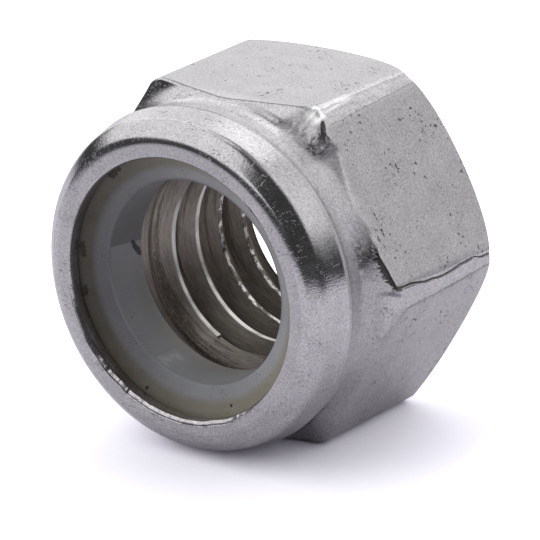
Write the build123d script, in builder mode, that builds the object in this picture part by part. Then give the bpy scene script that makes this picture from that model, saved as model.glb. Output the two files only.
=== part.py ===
from build123d import *
from math import atan, degrees
import os

# A nylon insert lock nut for a 3/8 in coarse thread, lying on one of its six flats.
# The thread axis runs along Y. The origin is the centre of the bearing face,
# and the collar that holds the nylon ring points towards -Y.
# All sizes are in millimetres.

# Hexagon
across_flats = 14.29
hex_height = 6.95  # bearing face to the shoulder in front of the corners
corner_rounding = 0.8  # radius along the six corners

# Bearing end, rounded off between the flat ring and the corners
bearing_diameter = 13.4  # flat ring that presses on the work
corner_drop = 1.25  # height that the rounded end takes off a corner
end_rounding = 2.9

# Neck, hollowed out between the shoulder and the collar
neck_depth = 0.2  # how far the neck lies under the widest part of the collar
neck_rounding = 1.4
neck_land = 0.35  # straight part of the neck

# Collar, from the neck to the rim
collar_diameter = 14.24  # at its widest part
collar_height = 2.45
swell_height = 0.47  # neck to the widest part
collar_wall = 0.97  # wall beside the ring, at the widest part

# Lip, rolled inwards over the ring
lip_reach = 0.7  # how far it covers the ring
lip_thickness = 0.6
rim_width = 0.775  # flat end face of the lip
bevel_reach = 0.575  # slanted edge between the rim and the bulge, outwards
bevel_rise = 0.35  # and along the axis
rim_edge_break = 0.08  # small chamfer on both edges of the rim
roll_chamfer = 0.55  # inner corner where the wall turns into the lip
ledge_share = 0.9  # most of the lip's reach that this corner may take

# Threaded hole, bored to the crests of the thread
major_diameter = 9.525
thread_depth = 0.7
bearing_sink_margin = 0.04  # how far the countersink passes the thread's outer diameter
bearing_sink_angle = 90.0
seat_sink_margin = 0.24
seat_sink_depth = 1.43

# Nylon ring and the floor of its seat
seat_drop = 0.82  # how far the floor of the seat lies below the neck
ring_bite = 0.5  # how far the ring reaches in past the thread's outer diameter
ring_dish = 0.5  # how far its front face falls in towards the bore
ring_edge_break = 0.12
ring_side_clearance = 0.02
ring_end_clearance = 0.02

# Heights and radii that follow from the sizes above
bar_radius = across_flats
neck_height = hex_height + neck_rounding + neck_land
nut_height = neck_height + collar_height
collar_radius = collar_diameter / 2
neck_radius = collar_radius - neck_depth
seat_radius = collar_radius - collar_wall
seat_floor = neck_height - seat_drop
seat_end = nut_height - lip_thickness
lip_radius = seat_radius - lip_reach
rim_radius = lip_radius + rim_width
crest_radius = major_diameter / 2 - thread_depth
bearing_sink_radius = major_diameter / 2 + bearing_sink_margin
seat_sink_radius = major_diameter / 2 + seat_sink_margin
seat_sink_angle = 2 * degrees(atan((seat_sink_radius - crest_radius) / seat_sink_depth))
ring_radius = seat_radius - ring_side_clearance
ring_end = seat_end - ring_end_clearance
ring_bore_radius = major_diameter / 2 - ring_bite
roll_corner = min(roll_chamfer, ledge_share * (ring_radius - lip_radius))

os.makedirs("parts", exist_ok=True)


# Nut body: one cold-formed steel piece, from the bearing face to the rolled lip
with BuildPart() as nut_body:
    # Hexagon with rounded corners, as high as the neck
    with BuildSketch(Plane.XZ):
        hexagon = RegularPolygon(across_flats / 2, 6, major_radius=False)
        fillet(hexagon.vertices(), corner_rounding)
    extrude(amount=neck_height)

    # Rounded bearing end, flat shoulder and hollow neck, turned around the thread axis
    with BuildSketch(Plane.XY):
        with BuildLine():
            flat_end = (bearing_diameter / 2, 0)
            corner_end = (hexagon.radius, -corner_drop)
            shoulder = (neck_radius + neck_rounding, -hex_height)
            hollow_end = (neck_radius, -hex_height - neck_rounding)
            neck = (neck_radius, -neck_height)
            Line((0, 0), flat_end)
            RadiusArc(flat_end, corner_end, end_rounding)
            Polyline(corner_end, (bar_radius, -corner_drop), (bar_radius, -hex_height), shoulder)
            RadiusArc(shoulder, hollow_end, -neck_rounding)
            Polyline(hollow_end, neck, (0, -neck_height), (0, 0))
        make_face()
    revolve(axis=Axis.Y, mode=Mode.INTERSECT)

    # Collar: swells out of the neck, bulges, and leans in to a flat rim
    with BuildSketch(Plane.XY):
        with BuildLine():
            widest = (collar_radius, -neck_height - swell_height)
            bevel_back = (rim_radius + bevel_reach, -nut_height + bevel_rise)
            rim_edge = (rim_radius, -nut_height)
            TangentArc(widest, neck, tangent=(0, 1))
            TangentArc(widest, bevel_back, tangent=(0, -1))
            Polyline(bevel_back, rim_edge, (0, -nut_height), (0, -neck_height), neck)
        make_face()
    revolve(axis=Axis.Y)

    # Seat for the ring: a round pocket, narrower in the corner where the wall rolls inwards
    with BuildSketch(Plane.XY):
        with BuildLine():
            Polyline(
                (0, -seat_floor),
                (seat_radius, -seat_floor),
                (seat_radius, -seat_end + roll_corner),
                (seat_radius - roll_corner, -seat_end),
                (0, -seat_end),
                close=True,
            )
        make_face()
    revolve(axis=Axis.Y, mode=Mode.SUBTRACT)

    # Opening in the lip
    with Locations(Plane.XZ.offset(nut_height)):
        Hole(lip_radius, lip_thickness)

    # Threaded hole, countersunk at the bearing face and at the floor of the seat
    with Locations(-Plane.XZ):
        CounterSinkHole(crest_radius, bearing_sink_radius, seat_floor, bearing_sink_angle)
    with Locations(Plane.XZ.offset(seat_floor)):
        CounterSinkHole(crest_radius, seat_sink_radius, seat_floor, seat_sink_angle)

    # Broken edges of the rim
    rim = nut_body.faces().sort_by(Axis.Y)[0]
    chamfer(rim.edges(), rim_edge_break)

nut_body.part.label = "nut_body"
export_step(nut_body.part, "parts/nut_body.step")


# Nylon ring: lies on the floor of the seat and is held there by the lip
with BuildPart() as nylon_ring:
    with BuildSketch(Plane.XY):
        with BuildLine():
            Polyline(
                (ring_bore_radius, -seat_floor),
                (ring_radius, -seat_floor),
                (ring_radius, -ring_end + roll_corner),
                (ring_radius - roll_corner, -ring_end),
                (lip_radius, -ring_end),
                (ring_bore_radius, -ring_end + ring_dish),
                close=True,
            )
        section = make_face()
        chamfer(section.vertices().group_by(Axis.X)[0], ring_edge_break)
    revolve(axis=Axis.Y)

nylon_ring.part.label = "nylon_ring"
export_step(nylon_ring.part, "parts/nylon_ring.step")
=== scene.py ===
from math import acos, asin, atan2, cos, degrees, pi, radians, sin, sqrt

import bmesh
import bpy
from mathutils import Matrix, Vector, noise


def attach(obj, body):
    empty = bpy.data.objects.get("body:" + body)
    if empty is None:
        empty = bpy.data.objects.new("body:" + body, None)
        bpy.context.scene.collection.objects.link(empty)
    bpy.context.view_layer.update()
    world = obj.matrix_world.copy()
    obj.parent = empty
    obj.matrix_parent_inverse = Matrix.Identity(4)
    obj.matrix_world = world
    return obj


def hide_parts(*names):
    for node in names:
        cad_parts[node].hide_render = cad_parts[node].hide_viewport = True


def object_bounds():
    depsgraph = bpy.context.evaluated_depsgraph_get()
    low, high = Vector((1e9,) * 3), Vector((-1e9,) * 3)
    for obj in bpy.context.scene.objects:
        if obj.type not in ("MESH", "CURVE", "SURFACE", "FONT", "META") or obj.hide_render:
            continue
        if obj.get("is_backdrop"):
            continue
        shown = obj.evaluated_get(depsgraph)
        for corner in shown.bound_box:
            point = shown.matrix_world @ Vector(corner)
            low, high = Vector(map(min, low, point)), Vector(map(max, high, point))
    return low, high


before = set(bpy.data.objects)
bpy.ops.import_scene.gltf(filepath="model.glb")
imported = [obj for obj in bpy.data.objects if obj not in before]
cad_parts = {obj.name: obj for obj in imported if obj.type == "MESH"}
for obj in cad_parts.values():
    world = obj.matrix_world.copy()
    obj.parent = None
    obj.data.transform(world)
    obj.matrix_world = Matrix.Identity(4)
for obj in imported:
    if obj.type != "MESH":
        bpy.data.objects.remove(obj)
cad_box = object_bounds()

# View: the nut lies on one flat and shows its collar, from a little above and to the right.
# A long lens keeps the perspective nearly flat.
mm = 0.001
aim = Vector((0.417, -5.524, -0.740)) * mm
camera_distance = 185.66 * mm
camera_azimuth = radians(36.68)
camera_elevation = radians(20.05)
camera_roll = radians(-1.17)

camera_data = bpy.data.cameras.new("camera")
camera_data.lens = 305.86
camera_data.clip_start = 10 * mm
camera = bpy.data.objects.new("camera", camera_data)
bpy.context.scene.collection.objects.link(camera)
towards_camera = Vector((
    sin(camera_azimuth) * cos(camera_elevation),
    -cos(camera_azimuth) * cos(camera_elevation),
    sin(camera_elevation),
))
camera.rotation_euler = (
    towards_camera.to_track_quat("Z", "Y").to_matrix() @ Matrix.Rotation(camera_roll, 3, "Z")
).to_euler()
camera.location = aim + towards_camera * camera_distance
bpy.context.scene.camera = camera
bpy.context.scene.view_settings.view_transform = "Standard"


# Light: a tent of soft boxes round a table of white paper. The room behind the camera is dark,
# and so is the gap between the paper and the boxes, which the polished steel mirrors.
def add_node(tree, kind, inputs=None, **settings):
    """Makes a shader node. Its inputs are values, or the sockets they are linked from."""
    new = tree.nodes.new(kind)
    for name, value in settings.items():
        setattr(new, name, value)
    for key, value in (inputs or {}).items():
        if isinstance(value, bpy.types.NodeSocket):
            tree.links.new(value, new.inputs[key])
        else:
            new.inputs[key].default_value = value
    return new


def math(tree, operation, first, second=0.0, third=0.0, clamp=False):
    """One step of arithmetic in a node tree."""
    step = add_node(tree, "ShaderNodeMath", {0: first, 1: second, 2: third}, operation=operation)
    step.use_clamp = clamp
    return step.outputs[0]


def ramp(tree, value, start, end, low=0.0, high=1.0, smooth=True):
    """low up to start, high from end on, and a smooth change between them."""
    way = "SMOOTHSTEP" if smooth else "LINEAR"
    places = {"Value": value, "From Min": start, "From Max": end, "To Min": low, "To Max": high}
    return add_node(tree, "ShaderNodeMapRange", places, interpolation_type=way).outputs[0]


def product(tree, first, *others):
    """The product of several values or masks."""
    for other in others:
        first = math(tree, "MULTIPLY", first, other)
    return first


def blend(tree, mask, under, over, kind="RGBA"):
    """over where the mask is 1 and under where it is 0, for colours or with FLOAT for values."""
    if kind == "FLOAT":
        names = {"Factor": mask, "A": under, "B": over}
        return add_node(tree, "ShaderNodeMix", names, data_type="FLOAT").outputs[0]
    mixed = tree.nodes.new("ShaderNodeMix")
    mixed.data_type = "RGBA"
    sockets = [socket for socket in mixed.inputs if socket.type == "RGBA"]
    for socket, value in ((mixed.inputs[0], mask), (sockets[0], under), (sockets[1], over)):
        if isinstance(value, bpy.types.NodeSocket):
            tree.links.new(value, socket)
        else:
            socket.default_value = value
    return next(socket for socket in mixed.outputs if socket.type == "RGBA")


world = bpy.data.worlds.new("light_tent")
bpy.context.scene.world = world
world.use_nodes = True
sky = world.node_tree
sky.nodes.clear()
direction = add_node(sky, "ShaderNodeTexCoord").outputs["Generated"]
axes = add_node(sky, "ShaderNodeSeparateXYZ", {0: direction}).outputs
bearing = math(sky, "MULTIPLY", math(sky, "ARCTAN2", axes["X"], axes["Y"]), degrees(1))
height = math(sky, "MULTIPLY", math(sky, "ARCSINE", axes["Z"]), degrees(1))


def soft_box(centre, width, low, high, strength, edge=8.0, rise=6.0):
    """A soft box in the tent: its bearing and width, its lower and upper edge, all in degrees."""
    turn = math(sky, "ABSOLUTE", math(sky, "WRAP", math(sky, "SUBTRACT", bearing, centre), 180, -180))
    across = ramp(sky, turn, width / 2 - edge, width / 2 + edge, 1, 0)
    above = ramp(sky, height, low - rise, low + rise)
    below = ramp(sky, height, high - rise, high + rise, 1, 0)
    return product(sky, across, strength, above, below)


dark_room = 0.06
boxes = (
    soft_box(-21, 80, -12, 70, 1.05, edge=10),  # behind the nut, for the top flat
    soft_box(-5, 56, 38, 68, 0.45, edge=15),  # higher up, for the worn corner
    soft_box(-122, 128, 15, 74, 1.05, rise=3),  # on the left, for the collar
    soft_box(38, 40, 10, 73, 0.74, edge=12, rise=7),  # for the flat on the right
    soft_box(72, 34, 22, 70, 0.88, edge=15, rise=9),  # on the right, for the neck
    soft_box(-85, 120, 76, 110, 1.10, edge=20, rise=4),  # overhead
    soft_box(60, 150, 70, 110, 0.22, edge=20),  # overhead on the right, weak
)
glow = dark_room
for box_light in boxes:
    glow = math(sky, "ADD", glow, box_light)
ray = add_node(sky, "ShaderNodeLightPath").outputs
white = 1.0
seen = blend(sky, ray["Is Camera Ray"], glow, white, "FLOAT")
backdrop = add_node(sky, "ShaderNodeBackground", {"Color": (1, 1, 1, 1), "Strength": seen})
add_node(sky, "ShaderNodeOutputWorld", {"Surface": backdrop.outputs[0]})

# Table: a sheet of white paper under the nut, which keeps the nut's shadow.
# Beyond its edges it falls dark, except to the camera.
paper_size = 4.0
paper_turn = radians(25)
paper_unlit = (0.06, 0.10)  # what is left of it far to the right, and far to the left
paper_shown = 1.97  # to the camera it is as white as the background
paper_green, paper_blue = 0.985, 1.06  # its tint, as shares of red
floor_mesh = bpy.data.meshes.new("paper")
sheet = bmesh.new()
bmesh.ops.create_grid(sheet, x_segments=8, y_segments=8, size=paper_size / 2)
lowest = cad_box[0][2]
bmesh.ops.translate(sheet, verts=sheet.verts, vec=(0, 0, lowest))
sheet.to_mesh(floor_mesh)
sheet.free()
floor = bpy.data.objects.new("paper", floor_mesh)
bpy.context.scene.collection.objects.link(floor)
floor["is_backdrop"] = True

paper = bpy.data.materials.new("paper")
paper.use_nodes = True
tree = paper.node_tree
tree.nodes.clear()
spot = add_node(tree, "ShaderNodeTexCoord").outputs["Object"]
turned = add_node(
    tree, "ShaderNodeVectorRotate", {"Vector": spot, "Angle": paper_turn}, rotation_type="Z_AXIS"
).outputs[0]
sides = add_node(tree, "ShaderNodeSeparateXYZ", {0: turned}).outputs
right_side = ramp(tree, sides["X"], 80 * mm, 150 * mm, 1.0, paper_unlit[0])
left_side = ramp(tree, sides["Y"], -120 * mm, -45 * mm, paper_unlit[1], 1.0)
lit = math(tree, "MULTIPLY", right_side, left_side)
ray = add_node(tree, "ShaderNodeLightPath").outputs
shown = blend(tree, ray["Is Camera Ray"], lit, paper_shown, "FLOAT")
tint = add_node(tree, "ShaderNodeCombineColor", {
    "Red": shown,
    "Green": math(tree, "MULTIPLY", shown, paper_green),
    "Blue": math(tree, "MULTIPLY", shown, paper_blue),
})
surface = add_node(tree, "ShaderNodeBsdfDiffuse", {"Color": tint.outputs[0]})
add_node(tree, "ShaderNodeOutputMaterial", {"Surface": surface.outputs[0]})
floor_mesh.materials.append(paper)


# Nut body: one piece of stainless steel, cold-formed from bar. The collar is turned and then rolled
# in over the nylon ring, and the hole is tapped from the bearing face.
def roll(path, radius, start, end, steps):
    """Carries a turned outline on along an arc. start and end say where the surface looks there,
    in degrees: 0 to the collar's end, 90 outwards, 180 to the bearing face, 270 into the hole.
    A hollow arc has a negative radius."""
    start, end = radians(start), radians(end)
    centre = path[-1] - radius * Vector((sin(start), -cos(start)))
    for step in range(1, steps + 1):
        look = start + (end - start) * step / steps
        path.append(centre + radius * Vector((sin(look), -cos(look))))


def run(path, radius, along, steps=1):
    """Carries a turned outline on along a straight line, to a distance from the axis and a height."""
    start, end = path[-1].copy(), Vector((radius, along))
    for step in range(1, steps + 1):
        path.append(start.lerp(end, step / steps))


def between(stops, place):
    """The value at a place, from a list of (place, value). It changes smoothly between them."""
    for (before, low), (after, high) in zip(stops, stops[1:]):
        if before <= place <= after:
            share = (place - before) / (after - before)
            return low + (high - low) * share * share * (3 - 2 * share)


def turn_round(outline, columns):
    """Turns an outline of (distance from the axis, height) round the axis, to a closed surface.
    Each point keeps the number of its row."""
    turned_shape = bmesh.new()
    row_layer = turned_shape.verts.layers.int.new("row")
    points = []
    for row, (radius, along) in enumerate(outline):
        point = turned_shape.verts.new((radius, along, 0))
        point[row_layer] = row
        points.append(point)
    edges = [turned_shape.edges.new(pair) for pair in zip(points, points[1:] + points[:1])]
    bmesh.ops.spin(
        turned_shape,
        geom=points + edges,
        cent=(0, 0, 0),
        axis=(0, 1, 0),
        angle=2 * pi,
        steps=columns,
        use_merge=True,
    )
    bmesh.ops.remove_doubles(turned_shape, verts=turned_shape.verts, dist=0.0005)
    return turned_shape


def into_scene(shape, name, mesh_name):
    """Makes an object of a shape in millimetres and puts it into the scene."""
    bmesh.ops.scale(shape, verts=shape.verts, vec=(mm, mm, mm))
    mesh = bpy.data.meshes.new(mesh_name)
    shape.to_mesh(mesh)
    shape.free()
    piece = bpy.data.objects.new(name, mesh)
    bpy.context.scene.collection.objects.link(piece)
    return piece


apothem = 14.29 / 2
bearing_radius = 6.7
end_rounding = 2.9
end_centre = Vector((5.7653, -2.7451))  # of the rounded end
end_look = 161.2  # where it looks beside the bearing ring
rear_edge = 0.12
neck_radius = 6.92
neck_height = -8.35
plain_edge = 0.2
plain_hollow = 1.4
plain_top = 8.1
collar_end = -11.15
rim_outer = 5.98
lip_radius = 5.45
seat_radius = 6.15
seat_floor = -7.88
hole_radius = 4.0625
hex_rows = 24
fillet_rows = 6
end_rows = 9
hollow_rows = 20
band_blend = 0.012


def hex_reach(turn, corner_top, band_rounding):
    """How far the hexagon reaches from the axis at an angle round it. Corners are at 0, 60, ...
    Each is worn to a narrow band that bulges a little and reaches out to corner_top."""
    from_corner = (turn + pi / 6) % (pi / 3) - pi / 6
    flat = apothem / cos(pi / 6 - abs(from_corner))
    band_centre = corner_top - band_rounding
    aside = band_centre * sin(from_corner)
    if abs(from_corner) > pi / 6 - atan2(band_centre * sin(pi / 6), apothem):
        return flat
    band = band_centre * cos(from_corner) + sqrt(band_rounding**2 - aside**2)
    share = min(max(0.5 + (band - flat) / (2 * band_blend), 0), 1)
    return band + (flat - band) * share - band_blend * share * (1 - share)


def hex_outline(rear, front, front_edge, hollow):
    """The outline from the bearing ring, over the hexagon, to the bottom of the neck. rear and front
    are the hexagon's reach at its two ends, front_edge and hollow the roundings before the neck."""
    path = [Vector((bearing_radius, 0))]
    meets = 180 - degrees(asin((rear - rear_edge - end_centre.x) / (end_rounding - rear_edge)))
    roll(path, end_rounding, end_look, meets, end_rows)
    roll(path, rear_edge, meets, 90, fillet_rows)
    reach = hollow + front_edge
    leaves = 90 - degrees(acos(1 - (front - neck_radius) / reach))
    edge_start = neck_height + reach * cos(radians(leaves))
    run(path, front, edge_start, hex_rows)
    roll(path, front_edge, 90, leaves, fillet_rows)
    roll(path, -hollow, leaves, 90, hollow_rows)
    return path


# The turned blank: its outline runs from the bearing ring round the outside and back up the hole
outline = hex_outline(plain_top, plain_top, plain_edge, plain_hollow)
pressed_rows = len(outline)

# the neck, and the crease where the collar was rolled back over it
run(outline, neck_radius, -8.70)
run(outline, 6.86, -8.92)
roll(outline, -0.10, 110, 135, 3)
run(outline, 7.07, -9.14)

# the collar: its widest part, the lean and the bend to the rim
roll(outline, 0.07, 128, 93, 4)
run(outline, 7.12, -9.38, 2)
roll(outline, 0.10, 88, 79, 2)
run(outline, 7.03, -9.80, 4)
run(outline, 6.907, -10.413, 4)
roll(outline, 0.75, 72, 42, 8)
run(outline, 6.384, -11.02, 4)
roll(outline, 0.30, 40, 25, 3)
roll(outline, 1.0, 25, 6, 8)
outline[-1].y = collar_end
run(outline, rim_outer, collar_end)

# the lip's inner edge, as (radius, distance from the rim), where it is whole and where it is torn
lip_start = len(outline)
plain_lip = (
    (5.62, 0), (5.59, 0), (5.57, 0), (5.55, 0), (5.53, 0), (5.51, 0.01), (5.49, 0.03), (5.47, 0.07),
    (5.45, 0.12),
)
torn_lip = (
    (5.63, 0), (5.61, 0.02), (5.60, 0.09), (5.575, 0.10), (5.555, 0.03), (5.54, 0.0), (5.49, 0.035),
    (5.43, 0.08), (5.45, 0.15),
)
for radius, above in plain_lip:
    run(outline, radius, collar_end + above)
lip_end = len(outline)

# the seat of the ring, from the lip's inner side to the floor
run(outline, lip_radius, -10.60, 3)
run(outline, 5.50, -10.55)
run(outline, 5.60, -10.55)
run(outline, seat_radius, -10.0)
run(outline, seat_radius, seat_floor, 3)
run(outline, 5.06, seat_floor, 2)

# the hole with its two countersinks, and the flat bearing ring
run(outline, 4.98, -7.84)
run(outline, hole_radius, -6.49, 6)
run(outline, hole_radius, -0.74, 1)
run(outline, 4.76, -0.04, 4)
run(outline, 4.80, 0)
run(outline, bearing_radius, 0, 3)
outline.pop()

blank = turn_round(outline, columns=480)
row_of = blank.verts.layers.int["row"]

# Pressing the hexagon: the columns of points crowd at the corners, and take their own outline.
# The front edges of the flats are crisp in places and worn soft in others: front_edges and hollows
# hold the roundings before the neck as (turn in degrees, radius).
crowding = 0.10
rear_tops = (8.07, 8.115, 8.10, 8.09, 8.10, 8.09)
front_tops = (7.99, 8.08, 8.08, 8.04, 8.07, 8.05)
band_roundings = (2.5, 1.1, 1.4, 2.0, 1.6, 2.0)
front_edges = (
    (0, 0.5), (2.5, 0.12), (14, 0.12), (22, 0.8), (36, 0.9), (48, 0.85), (52, 0.3), (53.5, 0.12),
    (56, 0.12), (59, 0.55), (62, 0.55), (66, 0.15), (118, 0.15),
    (150, 0.6), (180, 0.3), (210, 0.6), (240, 0.3), (270, 0.6), (300, 0.4), (315, 0.9), (340, 1.0),
    (355, 0.7), (360, 0.5),
)
hollows = (
    (0, 1.4), (3, 1.0), (13, 1.0), (22, 1.9), (36, 1.9), (47, 1.75), (51.5, 1.1), (55, 1.0),
    (60, 1.3), (80, 1.2), (90, 0.85), (100, 1.1), (130, 1.4), (150, 2.2), (170, 1.4), (190, 1.4),
    (210, 2.4), (230, 1.4), (250, 1.4), (270, 2.2), (290, 1.4), (310, 1.4), (330, 2.6), (350, 1.4),
    (360, 1.4),
)

# The corner on the right is cracked along the upper side of its worn band: (height, z) along the nut
crack_line = (
    (-7.3, 0.50), (-6.6, 0.47), (-5.2, 0.26), (-4.3, 0.17), (-3.8, 0.19), (-3.0, 0.28), (-2.2, 0.30),
    (-1.5, 0.16), (0.0, 0.13),
)
crack_span = (-7.3, -0.3)
crack_turn = 10  # degrees from the X axis within which the crack lies
crack_depth = 0.04
crack_width = 0.07

# The corner above it is hammered to a facet, which runs out towards the bearing face
facet_look = radians(46)
facet_front = 7.785  # the facet's distance from the axis at facet_start
facet_start = -7.0
facet_slope = 0.010
facet_reach = radians(20)
facet_roughness = 0.012

# The collar was rolled a little out of round at the upper left: by turn, by radius and by height
bulge = ((0, 0), (92, 0), (126, 0.09), (155, 0.02), (180, 0), (360, 0))
bulge_share = ((0, 0.3), (6.0, 0.4), (6.8, 1.0), (9, 1.0))
bulge_fade = ((-12, 1), (-9.4, 1), (-8.9, 0), (0, 0))

# The lip's inner edge is torn where it was rolled over the ring, most of all at the bottom
torn = (
    (0, 0), (30, 0), (48, 0.3), (60, 0), (150, 0), (185, 0.25), (205, 0.6), (222, 1), (288, 1), (305, 0.5),
    (325, 0.1), (360, 0),
)
edge_wear = 0.3
burr_height, finer_burr, burr_width = 0.03, 0.02, 0.05  # how uneven the torn edge is
for point in blank.verts:
    turn = atan2(point.co.z, point.co.x)
    turn -= crowding * sin(6 * turn)
    at = degrees(turn) % 360
    row = point[row_of]
    radius, along = outline[row]
    if row < pressed_rows:
        corner = int(round(turn / (pi / 3))) % 6
        rear = hex_reach(turn, rear_tops[corner], band_roundings[corner])
        front = hex_reach(turn, front_tops[corner], band_roundings[corner])
        wear = 1 + edge_wear * noise.noise((5 * cos(turn), 5 * sin(turn), 4.0))
        column = hex_outline(rear, front, between(front_edges, at) * wear, between(hollows, at))
        radius, along = column[row]
        if abs(turn - facet_look) < facet_reach:
            facet = facet_front + facet_slope * (along - facet_start)
            facet += facet_roughness * noise.noise((turn * 30, along * 4, 1.0))
            radius = min(radius, facet / cos(turn - facet_look))
        if at < crack_turn and crack_span[0] < along < crack_span[1]:
            off_line = abs(radius * sin(turn) - between(crack_line, along)) / crack_width
            radius -= crack_depth * max(0, 1 - off_line)
    elif row < lip_start:
        share = between(bulge_share, radius) * between(bulge_fade, along)
        radius += between(bulge, at) * share
    elif row < lip_end:
        amount = between(torn, at)
        burr_radius, above = torn_lip[row - lip_start]
        spot = Vector((cos(turn), sin(turn), 0)) * 5.5  # on a circle, so that the pattern closes
        above += burr_height * noise.noise(spot * 3.0) + finer_burr * noise.noise(spot * 7.0)
        burr_radius += burr_width * noise.noise(spot * 1.5 + Vector((0, 0, 3)))
        radius += (burr_radius - radius) * amount
        along = max(along + (collar_end + above - along) * amount, collar_end)
    point.co = (radius * cos(turn), along, radius * sin(turn))
bmesh.ops.recalc_face_normals(blank, faces=blank.faces)
blank.normal_update()

# Dents: rough patches that the press left on the neck and the shoulder, and along the hammered corner.
# Each has its turn and its height, half of its size both ways, the depth and the size of its lumps.
dents = (
    (54, -7.50, 0.50, 0.45, 0.05, 0.16),
    (60, -7.70, 1.20, 0.50, 0.025, 0.35),
    (64, -8.85, 1.40, 0.30, 0.035, 0.22),
    (61.5, -5.9, 0.30, 1.60, 0.035, 0.13),
    (48, -8.50, 1.80, 0.40, 0.022, 0.24),
    (34, -8.45, 1.80, 0.45, 0.022, 0.24),
    (20, -8.30, 2.00, 0.50, 0.03, 0.30),
)
outer_side = 6.0  # nearer to the axis nothing is dented
finer, finer_share = 2.3, 0.5  # the smaller lumps on the large ones
sunk = 0.25
for point in blank.verts:
    turn = degrees(atan2(point.co.z, point.co.x))
    radius = sqrt(point.co.x**2 + point.co.z**2)
    for at_turn, at_height, wide, high, depth, size in dents:
        across = (turn - at_turn) * radius * radians(1) / wide
        away = sqrt(across**2 + ((point.co.y - at_height) / high) ** 2)
        if away < 1 and radius > outer_side:
            rough = noise.noise(point.co / size) + finer_share * noise.noise(point.co * finer / size)
            point.co += point.normal * depth * (rough - sunk) * min(1, 2 - 2 * away)
nut = into_scene(blank, "locknut_body", "nut_body_shape")

# The tap: a groove section wound along the axis, which cuts the thread out of the blank
pitch = 1.5875
crest_width = 0.20
root_width = 0.30
root_bevel = 0.06
root_narrowing = 0.05
groove_depth = 0.70
reach_in = 0.15  # how far the tap stands out into the hole
first_crest = -5.25  # height of the crest's middle at the +X side
lead = 4.5  # turns from there to the end of the tap, outside the bearing face
turns = 7
tap_steps = 120
flank = (pitch - crest_width - root_width) / 2 / groove_depth
tap = bmesh.new()
mouth = (pitch - crest_width) / 2 + reach_in * flank
middle = first_crest + lead * pitch
section = [
    (hole_radius - reach_in, middle + mouth),
    (hole_radius + groove_depth - root_bevel, middle + root_width / 2 + root_bevel * flank),
    (hole_radius + groove_depth, middle + root_width / 2 - root_narrowing),
    (hole_radius + groove_depth, middle - root_width / 2 + root_narrowing),
    (hole_radius + groove_depth - root_bevel, middle - root_width / 2 - root_bevel * flank),
    (hole_radius - reach_in, middle - mouth),
]
corners = [tap.verts.new((radius, along, 0)) for radius, along in section]
start_face = tap.faces.new(corners)
bmesh.ops.spin(
    tap,
    geom=[start_face],
    cent=(0, 0, 0),
    axis=(0, -1, 0),
    dvec=(0, -pitch / tap_steps, 0),
    angle=2 * pi * turns,
    steps=tap_steps * turns,
)
bmesh.ops.recalc_face_normals(tap, faces=tap.faces)
tap_object = into_scene(tap, "tap", "tap_shape")
cut = nut.modifiers.new("tapped", "BOOLEAN")
cut.operation = "DIFFERENCE"
cut.solver = "EXACT"
cut.object = tap_object
bpy.context.view_layer.update()
tapped = bpy.data.meshes.new_from_object(nut.evaluated_get(bpy.context.evaluated_depsgraph_get()))
nut.modifiers.clear()
nut.data = tapped
bpy.data.objects.remove(tap_object)

# The thread's first crest is chipped off over part of a turn
chip_radius = 4.17
chip_turns = (247, 318)
chip_heights = (-6.75, -5.9)
crest_edge = 4.0  # nothing of the body lies nearer to the axis
for vertex in tapped.vertices:
    point = vertex.co / mm
    radius = sqrt(point.x**2 + point.z**2)
    at = degrees(atan2(point.z, point.x)) % 360
    chipped = chip_turns[0] < at < chip_turns[1] and chip_heights[0] < point.y < chip_heights[1]
    if chipped and crest_edge < radius < chip_radius:
        vertex.co.xz *= chip_radius / radius
for face in tapped.polygons:
    face.use_smooth = True
tapped.set_sharp_from_angle(angle=radians(32))
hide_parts("nut_body")
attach(nut, "root")


# Shared surface effects
def new_group(name, inputs, outputs):
    """An empty node group. Its inputs are (name, kind, value) and its outputs (name, kind)."""
    group = bpy.data.node_groups.new(name, "ShaderNodeTree")
    for label, kind, value in inputs:
        socket = group.interface.new_socket(label, in_out="INPUT", socket_type=kind)
        if value is not None:
            socket.default_value = value
    for label, kind in outputs:
        group.interface.new_socket(label, in_out="OUTPUT", socket_type=kind)
    return group, add_node(group, "NodeGroupInput").outputs, add_node(group, "NodeGroupOutput").inputs


def use_group(tree, group, **inputs):
    """Puts a node group to use in a tree and returns its outputs."""
    return add_node(tree, "ShaderNodeGroup", inputs, node_tree=group).outputs


def scaled(tree, vector, factor):
    """A vector times a value."""
    names = {"Vector": vector, "Scale": factor}
    return add_node(tree, "ShaderNodeVectorMath", names, operation="SCALE").outputs[0]


def places(tree):
    """The place on a piece in millimetres, its three parts, its reach from the axis, and its turn."""
    place = scaled(tree, add_node(tree, "ShaderNodeTexCoord").outputs["Object"], 1 / mm)
    axes = add_node(tree, "ShaderNodeSeparateXYZ", {0: place}).outputs
    x, along, z = axes["X"], axes["Y"], axes["Z"]
    squares = math(tree, "ADD", math(tree, "MULTIPLY", x, x), math(tree, "MULTIPLY", z, z))
    return place, x, along, z, math(tree, "SQRT", squares), math(tree, "ARCTAN2", z, x)


def follow(tree, value, stops):
    """The value at a place, from a list of (place, value), with a smooth step between each two."""
    level = stops[0][1]
    for (before, low), (after, high) in zip(stops, stops[1:]):
        if high != low:
            level = math(tree, "ADD", level, ramp(tree, value, before, after, 0.0, high - low))
    return level


def highest(tree, first, *others):
    """The highest of several values or masks."""
    for other in others:
        first = math(tree, "MAXIMUM", first, other)
    return first


def near(tree, value, centre, inner, outer):
    """1 where a value is within inner of the centre, and 0 beyond outer."""
    distance = math(tree, "ABSOLUTE", math(tree, "SUBTRACT", value, centre))
    return ramp(tree, distance, inner, outer, 1, 0)


FLOAT, VECTOR = "NodeSocketFloat", "NodeSocketVector"

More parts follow.
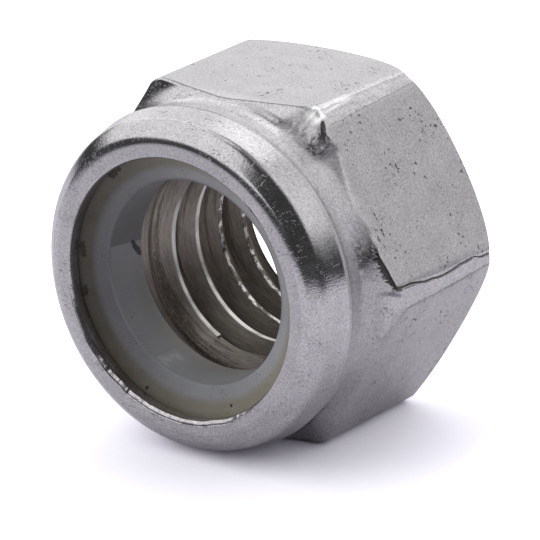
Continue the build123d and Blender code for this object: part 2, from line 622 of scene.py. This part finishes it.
# Grain: an even roughness of the surface, and the wider patches that go with it
grain, given, out = new_group(
    "grain", [("Place", VECTOR, None), ("Size", FLOAT, 0.08)], [("Height", FLOAT), ("Patches", FLOAT)]
)
per_size = math(grain, "DIVIDE", 1.0, given["Size"])
fine = add_node(grain, "ShaderNodeTexNoise", {"Vector": given["Place"], "Scale": per_size, "Detail": 3.0})
wide = add_node(grain, "ShaderNodeTexNoise", {
    "Vector": given["Place"],
    "Scale": math(grain, "MULTIPLY", per_size, 0.07),
    "Detail": 3.0,
})
grain.links.new(math(grain, "SUBTRACT", fine.outputs["Fac"], 0.5), out["Height"])
grain.links.new(math(grain, "SUBTRACT", wide.outputs["Fac"], 0.5), out["Patches"])

# Marks: pits, specks or scratches strewn in clusters, with ragged outlines. Size is in millimetres,
# Amount from 0 to 1 makes them more and larger, and a stretched Place makes long ones.
marks, given, out = new_group(
    "marks", [("Place", VECTOR, None), ("Size", FLOAT, 0.1), ("Amount", FLOAT, 0.5)], [("Mask", FLOAT)]
)
per_mark = math(marks, "DIVIDE", 1.0, given["Size"])
lumps = add_node(marks, "ShaderNodeTexNoise", {"Vector": given["Place"], "Scale": per_mark, "Detail": 1.5})
clusters = add_node(marks, "ShaderNodeTexNoise", {
    "Vector": given["Place"],
    "Scale": math(marks, "MULTIPLY", per_mark, 0.11),
    "Detail": 1.0,
})
gather = ramp(marks, clusters.outputs["Fac"], 0.35, 0.75, 0.06, -0.10)
level = math(marks, "ADD", math(marks, "MULTIPLY_ADD", given["Amount"], -0.16, 0.80), gather)
marks.links.new(ramp(marks, lumps.outputs["Fac"], level, math(marks, "ADD", level, 0.03)), out["Mask"])

# Dirt: stains with torn edges. Cover is the share of the surface that they take.
dirt, given, out = new_group(
    "dirt", [("Place", VECTOR, None), ("Size", FLOAT, 0.5), ("Cover", FLOAT, 0.5)], [("Mask", FLOAT)]
)
cloud = add_node(dirt, "ShaderNodeTexNoise", {
    "Vector": given["Place"],
    "Scale": math(dirt, "DIVIDE", 1.0, given["Size"]),
    "Detail": 5.0,
    "Roughness": 0.6,
})
edge = math(dirt, "SUBTRACT", 0.78, math(dirt, "MULTIPLY", given["Cover"], 0.56))
dirt.links.new(ramp(dirt, cloud.outputs["Fac"], edge, math(dirt, "ADD", edge, 0.07)), out["Mask"])

# Steel: satin flats, a burnished collar, a ground rim and a stained hole
steel = bpy.data.materials.new("stainless_steel")
steel.use_nodes = True
tree = steel.node_tree
shader = tree.nodes["Principled BSDF"]
place, x, along, z, reach, turn = places(tree)
turned = math(tree, "MULTIPLY", turn, degrees(1))
from_flat = math(tree, "WRAP", math(tree, "SUBTRACT", turn, pi / 6), pi / 6, -pi / 6)
under_flat = math(tree, "SUBTRACT", apothem, product(tree, reach, math(tree, "COSINE", from_flat)))
across = math(tree, "DIVIDE", x, reach)
upward = math(tree, "DIVIDE", z, reach)

# Masks of the flats, the rim, the hole and the thread's crests
flats = product(tree, ramp(tree, under_flat, 0.01, 0.06, 1, 0), ramp(tree, along, -7.6, -7.0))
rim = ramp(tree, along, collar_end + 0.003, collar_end + 0.015, 1, 0)
inside = ramp(tree, reach, 5.15, 5.3, 1, 0)
outside = math(tree, "SUBTRACT", 1.0, inside)
crest = product(tree, inside, ramp(tree, reach, 4.075, 4.10, 1, 0))

# Streaks run from the rim outwards and over the collar
streaks_round = 150.0
streaks_along = 2.2
streak_place = add_node(tree, "ShaderNodeCombineXYZ", {
    0: math(tree, "MULTIPLY", across, streaks_round),
    1: math(tree, "MULTIPLY", math(tree, "ADD", along, reach), streaks_along),
    2: math(tree, "MULTIPLY", upward, streaks_round),
}).outputs[0]
streaks = add_node(tree, "ShaderNodeTexNoise", {"Vector": streak_place, "Scale": 1.0, "Detail": 2.0})

# Tool marks run round the seat, and along the thread
marks_across = 22.0
marks_round = 5.5
seat = ramp(tree, along, -6.7, -6.3, 1, 0)
ring_place = add_node(tree, "ShaderNodeCombineXYZ", {
    0: math(tree, "MULTIPLY", reach, marks_across),
    1: math(tree, "MULTIPLY", along, marks_across),
    2: across,
}).outputs[0]
climb = math(tree, "SUBTRACT", math(tree, "MULTIPLY", along, 2 * pi / pitch), turn)
thread_place = add_node(tree, "ShaderNodeCombineXYZ", {
    0: math(tree, "MULTIPLY", reach, marks_across),
    1: math(tree, "MULTIPLY", math(tree, "SINE", climb), marks_round),
    2: math(tree, "MULTIPLY", math(tree, "COSINE", climb), marks_round),
}).outputs[0]
ring_marks = add_node(tree, "ShaderNodeTexNoise", {"Vector": ring_place, "Scale": 1.0, "Detail": 2.0})
thread_marks = add_node(
    tree,
    "ShaderNodeTexNoise",
    {"Vector": thread_place, "W": across, "Scale": 1.0, "Detail": 2.0},
    noise_dimensions="4D",
)
tool_marks = blend(tree, seat, thread_marks.outputs["Fac"], ring_marks.outputs["Fac"], "FLOAT")

# Wear and dirt, strewn over all of the body, and the neck's valley, where shade is painted
grained = use_group(tree, grain, Place=place, Size=0.085)
pits = use_group(tree, marks, Place=place, Size=0.17, Amount=0.56)["Mask"]
pits = math(tree, "MULTIPLY", pits, math(tree, "MULTIPLY_ADD", flats, 0.75, 0.25))  # fewer off the flats
ticks_stretch = (0.30, 1.0, 1.0)
ticks_place = add_node(
    tree, "ShaderNodeVectorMath", {0: place, 1: ticks_stretch}, operation="MULTIPLY"
).outputs[0]
ticks = use_group(tree, marks, Place=ticks_place, Size=0.07, Amount=0.5)["Mask"]
scuffs = use_group(tree, marks, Place=streak_place, Size=1.6, Amount=0.6)["Mask"]
stain = use_group(tree, dirt, Place=ring_place, Size=14.0, Cover=0.5)["Mask"]
mottle = use_group(tree, dirt, Place=place, Size=0.14, Cover=0.45)["Mask"]
blots = use_group(tree, dirt, Place=place, Size=0.16, Cover=0.5)["Mask"]
crest_stain = use_group(tree, dirt, Place=place, Size=0.35, Cover=0.55)["Mask"]
grime_and_shade_mottle = use_group(tree, dirt, Place=place, Size=0.6, Cover=0.9)["Mask"]
valley = product(
    tree,
    ramp(tree, reach, 7.0, 7.08, 1, 0),
    ramp(tree, along, -9.14, -9.12),
    ramp(tree, along, -9.05, -8.75, 1, 0),
)

# Dark lines: painted shade in the edges where the flats break off and in the creases, painted shade with
# grime in the cracked corner, grime in a rough pit and on the shoulder, and a scratch.
# The lists hold how dark, how wide and how frayed the line is at a turn, in degrees.
wobble = math(tree, "MULTIPLY", grained["Height"], 0.04)
hair = math(tree, "SUBTRACT", streaks.outputs["Fac"], 0.5)
depth = math(tree, "ADD", under_flat, wobble)
front_amount = follow(tree, turned, (
    (2, 0), (3.5, 1), (14, 1), (19, 0), (51, 0), (53, 0.9), (58, 1), (60, 0.2), (64, 0.6), (110, 0.7),
    (122, 0),
))
front_width = follow(tree, turned, (
    (3, 0.08), (6, 0.26), (12, 0.22), (17, 0.05), (51, 0.08), (53.5, 0.20), (56, 0.12), (60, 0.04),
    (66, 0.02),
))
hairy = follow(tree, turned, ((18, 0.5), (24, 0.0)))
front_width = math(tree, "ADD", front_width, math(tree, "MULTIPLY", hair, hairy))
front_start = follow(tree, turned, ((40, -7.02), (46, -7.45), (52, -7.4), (58, -7.0)))
front_line = product(
    tree,
    front_amount,
    ramp(tree, depth, 0.006, 0.014),
    ramp(tree, math(tree, "SUBTRACT", depth, front_width), 0.0, 0.03, 1, 0),
    ramp(tree, along, -8.1, -7.9),
    ramp(tree, math(tree, "SUBTRACT", along, front_start), 0.0, 0.06, 1, 0),
)
from_crack = math(tree, "ADD", math(tree, "SUBTRACT", z, follow(tree, along, crack_line)), wobble)
crack_opening = follow(tree, along, ((-7, 1.0), (-1.5, 0.45)))
crack = product(
    tree,
    near(tree, math(tree, "DIVIDE", from_crack, crack_opening), 0, 0.03, 0.07),
    ramp(tree, x, 7.2, 7.4),
    ramp(tree, along, crack_span[0], -7.2),
)
side_line = product(
    tree,
    0.45,
    ramp(tree, depth, 0.005, 0.012),
    ramp(tree, depth, 0.015, 0.035, 1, 0),
    ramp(tree, along, -6.9, -6.7),
    follow(tree, turned, ((-9, 0), (-8, 1), (-1, 1), (0, 0), (52, 0), (53, 0.7), (57, 0.7), (57.5, 0))),
)
rough_pit = product(
    tree,
    blots,
    0.8,
    follow(tree, turned, ((49.5, 0), (51, 1), (54, 1), (58, 0))),
    ramp(tree, depth, 0.03, 0.08),
    ramp(tree, along, -8.0, -7.8),
    ramp(tree, along, -7.1, -7.0, 1, 0),
)
collar_crease = product(
    tree,
    near(tree, along, -9.40, 0.01, 0.05),
    ramp(tree, reach, 6.95, 7.0),
    follow(tree, turned, ((60, 0), (90, 0.5), (150, 0.5), (175, 0))),
)
scratch = product(
    tree,
    blots,
    flats,
    near(tree, math(tree, "ADD", along, wobble), -6.69, 0.03, 0.06),
    near(tree, z, 2.8, 0.55, 0.7),
    ramp(tree, x, 5.5, 6.0),
)
thin_grime = blend(
    tree, ramp(tree, turned, 8, 18), product(tree, grime_and_shade_mottle, 0.22), product(tree, blots, 0.15), "FLOAT"
)
shoulder_grime = product(
    tree,
    thin_grime,
    ramp(tree, under_flat, 0.05, 0.25),
    ramp(tree, along, -9.1, -8.9),
    ramp(tree, along, -7.5, -7.1, 1, 0),
    follow(tree, turned, ((-25, 0), (-5, 1), (38, 1), (48, 0))),
)
dark_lines = highest(
    tree, front_line, crack, side_line, rough_pit, collar_crease, scratch, shoulder_grime
)
pitted = product(tree, outside, highest(tree, pits, math(tree, "MULTIPLY", ticks, 0.6)))

# Colour: bright steel with an uneven tone outside and painted shade in the neck's valley; stained steel,
# worn crests and painted shade on the lower side in the hole
bright_steel = (0.56, 0.545, 0.565)
valley_shade_and_dirt = (0.14, 0.13, 0.13, 1)
pit_dirt = (0.14, 0.115, 0.09, 1)
line_shade_and_dirt = (0.055, 0.047, 0.04, 1)
rubbed_highlight_steel = (0.96, 0.95, 0.95, 1)
cast_skin = (0.85, 0.82, 0.855)
tone = math(tree, "ADD", 1.0, math(tree, "MULTIPLY", grained["Height"], 1.1))
tone = math(tree, "ADD", tone, math(tree, "MULTIPLY", grained["Patches"], 0.38))
bright = scaled(tree, bright_steel, tone)
# painted shade in the neck's valley, broken up by the grime mottle
bright = blend(tree, product(tree, valley, grime_and_shade_mottle, 0.95), bright, valley_shade_and_dirt)
clean_hole = blend(tree, seat, (0.465, 0.42, 0.375, 1), (0.60, 0.55, 0.51, 1))
dirty_hole = blend(tree, seat, (0.245, 0.215, 0.18, 1), (0.30, 0.26, 0.23, 1))
hole_colour = blend(tree, stain, clean_hole, dirty_hole)
hole_colour = blend(tree, product(tree, mottle, seat, 0.45), hole_colour, (0.72, 0.62, 0.52, 1))
worked = ramp(tree, tool_marks, 0.32, 0.68, 0.80, 1.16)
# the hole's lower side is painted darker, as shade
hole_colour = scaled(tree, hole_colour, product(tree, worked, ramp(tree, upward, -0.95, -0.2, 0.62, 1.0)))
crest_stain = math(tree, "MULTIPLY", crest_stain, ramp(tree, along, -4.4, -3.6))
worn_crest = blend(tree, crest_stain, (0.60, 0.575, 0.56, 1), (0.12, 0.11, 0.10, 1))
crest_tone = math(tree, "MULTIPLY_ADD", grained["Patches"], 2.4, 0.95, clamp=True)
worn_crest = scaled(tree, worn_crest, crest_tone)
colour = blend(tree, inside, bright, hole_colour)
colour = blend(tree, crest, colour, worn_crest)
colour = blend(tree, math(tree, "MULTIPLY", pitted, 0.85), colour, pit_dirt)
# the dark lines: painted shade in edges, creases and the crack, with grime and a scratch
colour = blend(tree, math(tree, "MULTIPLY", dark_lines, 0.92), colour, line_shade_and_dirt)

# The hammered corner and the ridge behind it are rubbed bright, and their glare is painted in as a
# near-white highlight
rubbed_highlight = product(tree, near(tree, turned, 60.5, 1.8, 3.2), near(tree, along, -6.95, 0.16, 0.34), outside)
ridge = product(tree, near(tree, turned, 60.7, 1.2, 1.9), near(tree, along, -6.1, 0.8, 1.8), outside, 0.35)
rubbed_highlight = highest(tree, rubbed_highlight, ridge)
colour = blend(tree, rubbed_highlight, colour, rubbed_highlight_steel)

# The rough cast skin beside the hammered corner is dull and scatters the light
matte = product(
    tree,
    ramp(tree, under_flat, 0.02, 0.08),
    ramp(tree, along, -8.9, -8.4),
    ramp(tree, along, -7.1, -6.9, 1, 0),
    follow(tree, turned, ((14, 0), (26, 1), (47, 1), (50.5, 0))),
    blend(tree, mottle, 0.72, 0.55, "FLOAT"),
)
colour = blend(tree, matte, colour, scaled(tree, cast_skin, tone))
tree.links.new(colour, shader.inputs["Base Color"])
tree.links.new(math(tree, "SUBTRACT", 1.0, matte), shader.inputs["Metallic"])

# Roughness: the flats, the neck and the rough patch under the hammered corner are satin
cast_centre = (4.0, -7.6, 6.1)
scuffed = product(tree, ramp(tree, along, -9.42, -9.38), ramp(tree, along, -8.5, -8.1, 1, 0))
from_patch = add_node(
    tree, "ShaderNodeVectorMath", {0: place, 1: cast_centre}, operation="DISTANCE"
).outputs["Value"]
cast_patch = product(tree, ramp(tree, from_patch, 1.0, 1.5, 1, 0), math(tree, "SUBTRACT", 1.0, flats))
satin = highest(tree, flats, scuffed, cast_patch)
roughness = blend(tree, satin, 0.16, 0.42, "FLOAT")
roughness = blend(tree, rim, roughness, 0.37, "FLOAT")
roughness = blend(tree, inside, roughness, 0.48, "FLOAT")
roughness = blend(tree, crest, roughness, 0.32, "FLOAT")
roughness = math(tree, "ADD", roughness, math(tree, "MULTIPLY", pitted, 0.2))
roughness = math(tree, "ADD", roughness, math(tree, "MULTIPLY", dark_lines, 0.25))
roughness = math(tree, "ADD", roughness, math(tree, "MULTIPLY", grained["Patches"], 0.12))
tree.links.new(roughness, shader.inputs["Roughness"])

# Relief in millimetres, too fine for the mesh: grain, streaks, tool marks, pits, lines and scuffs
grain_height = math(tree, "MULTIPLY_ADD", satin, 0.004, 0.003)
height = math(tree, "MULTIPLY", grained["Height"], grain_height)
streak_height = product(tree, math(tree, "SUBTRACT", streaks.outputs["Fac"], 0.5), outside, 0.0028)
height = math(tree, "ADD", height, streak_height)
tool_height = product(tree, math(tree, "SUBTRACT", tool_marks, 0.5), inside, 0.009)
height = math(tree, "ADD", height, tool_height)
height = math(tree, "SUBTRACT", height, math(tree, "MULTIPLY", pitted, 0.02))
height = math(tree, "SUBTRACT", height, math(tree, "MULTIPLY", dark_lines, 0.02))
height = math(tree, "SUBTRACT", height, product(tree, scuffs, outside, 0.0018))
bump = add_node(tree, "ShaderNodeBump", {"Height": height, "Distance": mm, "Strength": 1.0})
tree.links.new(bump.outputs[0], shader.inputs["Normal"])
tapped.materials.clear()
tapped.materials.append(steel)

# Nylon ring: moulded in one piece, pressed down on the floor of its seat and held by the lip.
# Its outline runs from the floor round the outside and over the dished face into the bore.
ring_back = -7.90
ring_radius = 6.12
ring_front = -10.53
edge_break = 0.12
ring_outline = [Vector((4.36, ring_back))]
run(ring_outline, ring_radius, ring_back, 4)
run(ring_outline, ring_radius, -10.0, 4)
run(ring_outline, 5.60, ring_front, 2)
run(ring_outline, lip_radius, ring_front)
run(ring_outline, 4.335, -10.06, 6)
roll(ring_outline, edge_break, -22, -90, 5)
run(ring_outline, ring_outline[-1].x, -8.0, 6)
roll(ring_outline, 0.10, -90, -180, 4)
ring_outline.pop()

ring = turn_round(ring_outline, columns=240)
bmesh.ops.recalc_face_normals(ring, faces=ring.faces)

# A cold shut of the moulding stands up from the bore at the lower left: a step, then a long run out
step_rise = ((0, 0), (238.4, 0), (240.2, 0.035), (253, 0), (360, 0))
step_height = ((-12, 0), (-10.0, 0), (-9.9, 1), (-8.7, 1), (-8.5, 0), (0, 0))
bore_only = 4.3
for point in ring.verts:
    radius = sqrt(point.co.x**2 + point.co.z**2)
    if radius < bore_only:
        rise = between(step_rise, degrees(atan2(point.co.z, point.co.x)) % 360)
        point.co.xz = point.co.xz * (1 - rise * between(step_height, point.co.y) / radius)
nylon_piece = into_scene(ring, "insert_ring", "nylon_ring_shape")
ring_mesh = nylon_piece.data
for face in ring_mesh.polygons:
    face.use_smooth = True
ring_mesh.set_sharp_from_angle(angle=radians(40))
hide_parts("nylon_ring")
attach(nylon_piece, "root")

# Nylon: milky grey, darker and oily where it goes under the lip, and painted darker on its left side as
# shade
nylon = bpy.data.materials.new("nylon")
nylon.use_nodes = True
tree = nylon.node_tree
shader = tree.nodes["Principled BSDF"]
place, x, along, z, reach, turn = places(tree)
turned = math(tree, "MULTIPLY", turn, degrees(1))
grained = use_group(tree, grain, Place=place, Size=0.12)
specks = use_group(tree, marks, Place=place, Size=0.09, Amount=0.3)["Mask"]
smear = use_group(tree, dirt, Place=place, Size=0.8, Cover=0.5)["Mask"]
painted_shade_left = ramp(tree, x, -5.5, 3.5, 1, 0)
oily = product(tree, ramp(tree, reach, 4.65, 5.05), blend(tree, smear, 0.9, 1.0, "FLOAT"))
bore = ramp(tree, reach, 4.27, 4.32, 1, 0)
bore_edge = product(tree, ramp(tree, reach, 4.36, 4.42, 1, 0), ramp(tree, along, -9.98, -9.93, 1, 0))
# painted shade: the left side of the ring is darker in both the clean and the oily colour
clean = blend(tree, painted_shade_left, (0.41, 0.415, 0.43, 1), (0.168, 0.171, 0.18, 1))
dirty = blend(tree, painted_shade_left, (0.34, 0.315, 0.245, 1), (0.098, 0.088, 0.066, 1))
colour = blend(tree, oily, clean, dirty)

# The bore has painted shade at the upper left, down to a border where it turns light. A painted highlight
# lies beside the cold shut, and the bore's edge is dark in its upper half.
border = math(tree, "ADD", turned, math(tree, "MULTIPLY", along, -1.8))
shaded = product(tree, ramp(tree, border, 189.6, 188.6), ramp(tree, turned, 95, 160))
in_bore = blend(tree, shaded, (0.41, 0.42, 0.435, 1), (0.245, 0.245, 0.245, 1))
rear_part = product(tree, ramp(tree, along, -9.0, -8.0), ramp(tree, z, 0.5, -1.0))
in_bore = blend(tree, math(tree, "MULTIPLY", rear_part, 0.6), in_bore, (0.39, 0.37, 0.34, 1))
cold_shut_highlight = product(
    tree,
    follow(tree, turned, ((-121, 0), (-119.6, 1), (-115, 1), (-107, 0))),
    near(tree, along, -9.3, 0.5, 0.65),
)
cold_shut_highlight_amount = product(tree, cold_shut_highlight, blend(tree, smear, 0.12, 0.4, "FLOAT"))
in_bore = blend(tree, cold_shut_highlight_amount, in_bore, (0.80, 0.82, 0.86, 1))
colour = blend(tree, bore, colour, in_bore)
edge_amount = math(tree, "MULTIPLY", bore_edge, ramp(tree, z, -1.5, 0.5, 0.0, 0.7))
colour = blend(tree, edge_amount, colour, (0.20, 0.20, 0.21, 1))
tone = math(tree, "ADD", 1.0, math(tree, "MULTIPLY", grained["Patches"], 0.35))
colour = scaled(tree, colour, tone)

# Black flecks of dirt: where each is, and its size
flecks = (
    ((-3.62, -10.51, 4.00), 0.17),
    ((-3.50, -10.51, 4.15), 0.17),
    ((-3.28, -10.51, 4.32), 0.11),
    ((-5.28, -10.48, 0.78), 0.10),
    ((-5.28, -10.47, 0.62), 0.12),
    ((-5.26, -10.46, 0.44), 0.12),
    ((-5.24, -10.46, 0.28), 0.10),
    ((-5.20, -10.48, -1.08), 0.09),
    ((-5.18, -10.48, -1.20), 0.10),
    ((-5.16, -10.48, -1.34), 0.08),
    ((-2.20, -10.46, -4.80), 0.06),
    ((1.97, -10.38, -4.69), 0.05),
    ((-4.24, -8.56, 0.46), 0.08),
    ((-4.25, -8.46, 0.34), 0.10),
    ((-4.25, -8.36, 0.22), 0.11),
    ((-4.25, -8.26, 0.10), 0.12),
    ((-4.26, -8.16, -0.02), 0.12),
    ((-4.26, -8.08, -0.14), 0.10),
)
fleck_edge = 0.03
ragged = math(tree, "MULTIPLY", grained["Height"], 0.16)
soiled = math(tree, "MULTIPLY", specks, 0.8)
for centre, size in flecks:
    away = add_node(tree, "ShaderNodeVectorMath", {0: place, 1: centre}, operation="DISTANCE")
    torn_off = math(tree, "ADD", away.outputs["Value"], ragged)
    soiled = highest(tree, soiled, ramp(tree, torn_off, size, size + fleck_edge, 1, 0))
dotted = product(tree, ramp(tree, reach, 5.1, 5.3), near(tree, turned, 152, 6, 10), ramp(tree, z, 0, 1))
dots = use_group(tree, marks, Place=place, Size=0.11, Amount=1.0)["Mask"]
soiled = highest(tree, soiled, math(tree, "MULTIPLY", dotted, dots))
colour = blend(tree, math(tree, "MULTIPLY", soiled, 0.93), colour, (0.03, 0.027, 0.02, 1))
tree.links.new(colour, shader.inputs["Base Color"])
roughness = math(tree, "ADD", 0.36, math(tree, "MULTIPLY", grained["Patches"], 0.2))
tree.links.new(roughness, shader.inputs["Roughness"])
height = math(tree, "MULTIPLY", grained["Height"], 0.004)
bump = add_node(tree, "ShaderNodeBump", {"Height": height, "Distance": mm, "Strength": 1.0})
tree.links.new(bump.outputs[0], shader.inputs["Normal"])
shader.inputs["Specular IOR Level"].default_value = 0.3
ring_mesh.materials.append(nylon)

boxes = {"cad": [list(corner) for corner in cad_box], "visual": [list(corner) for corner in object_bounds()]}
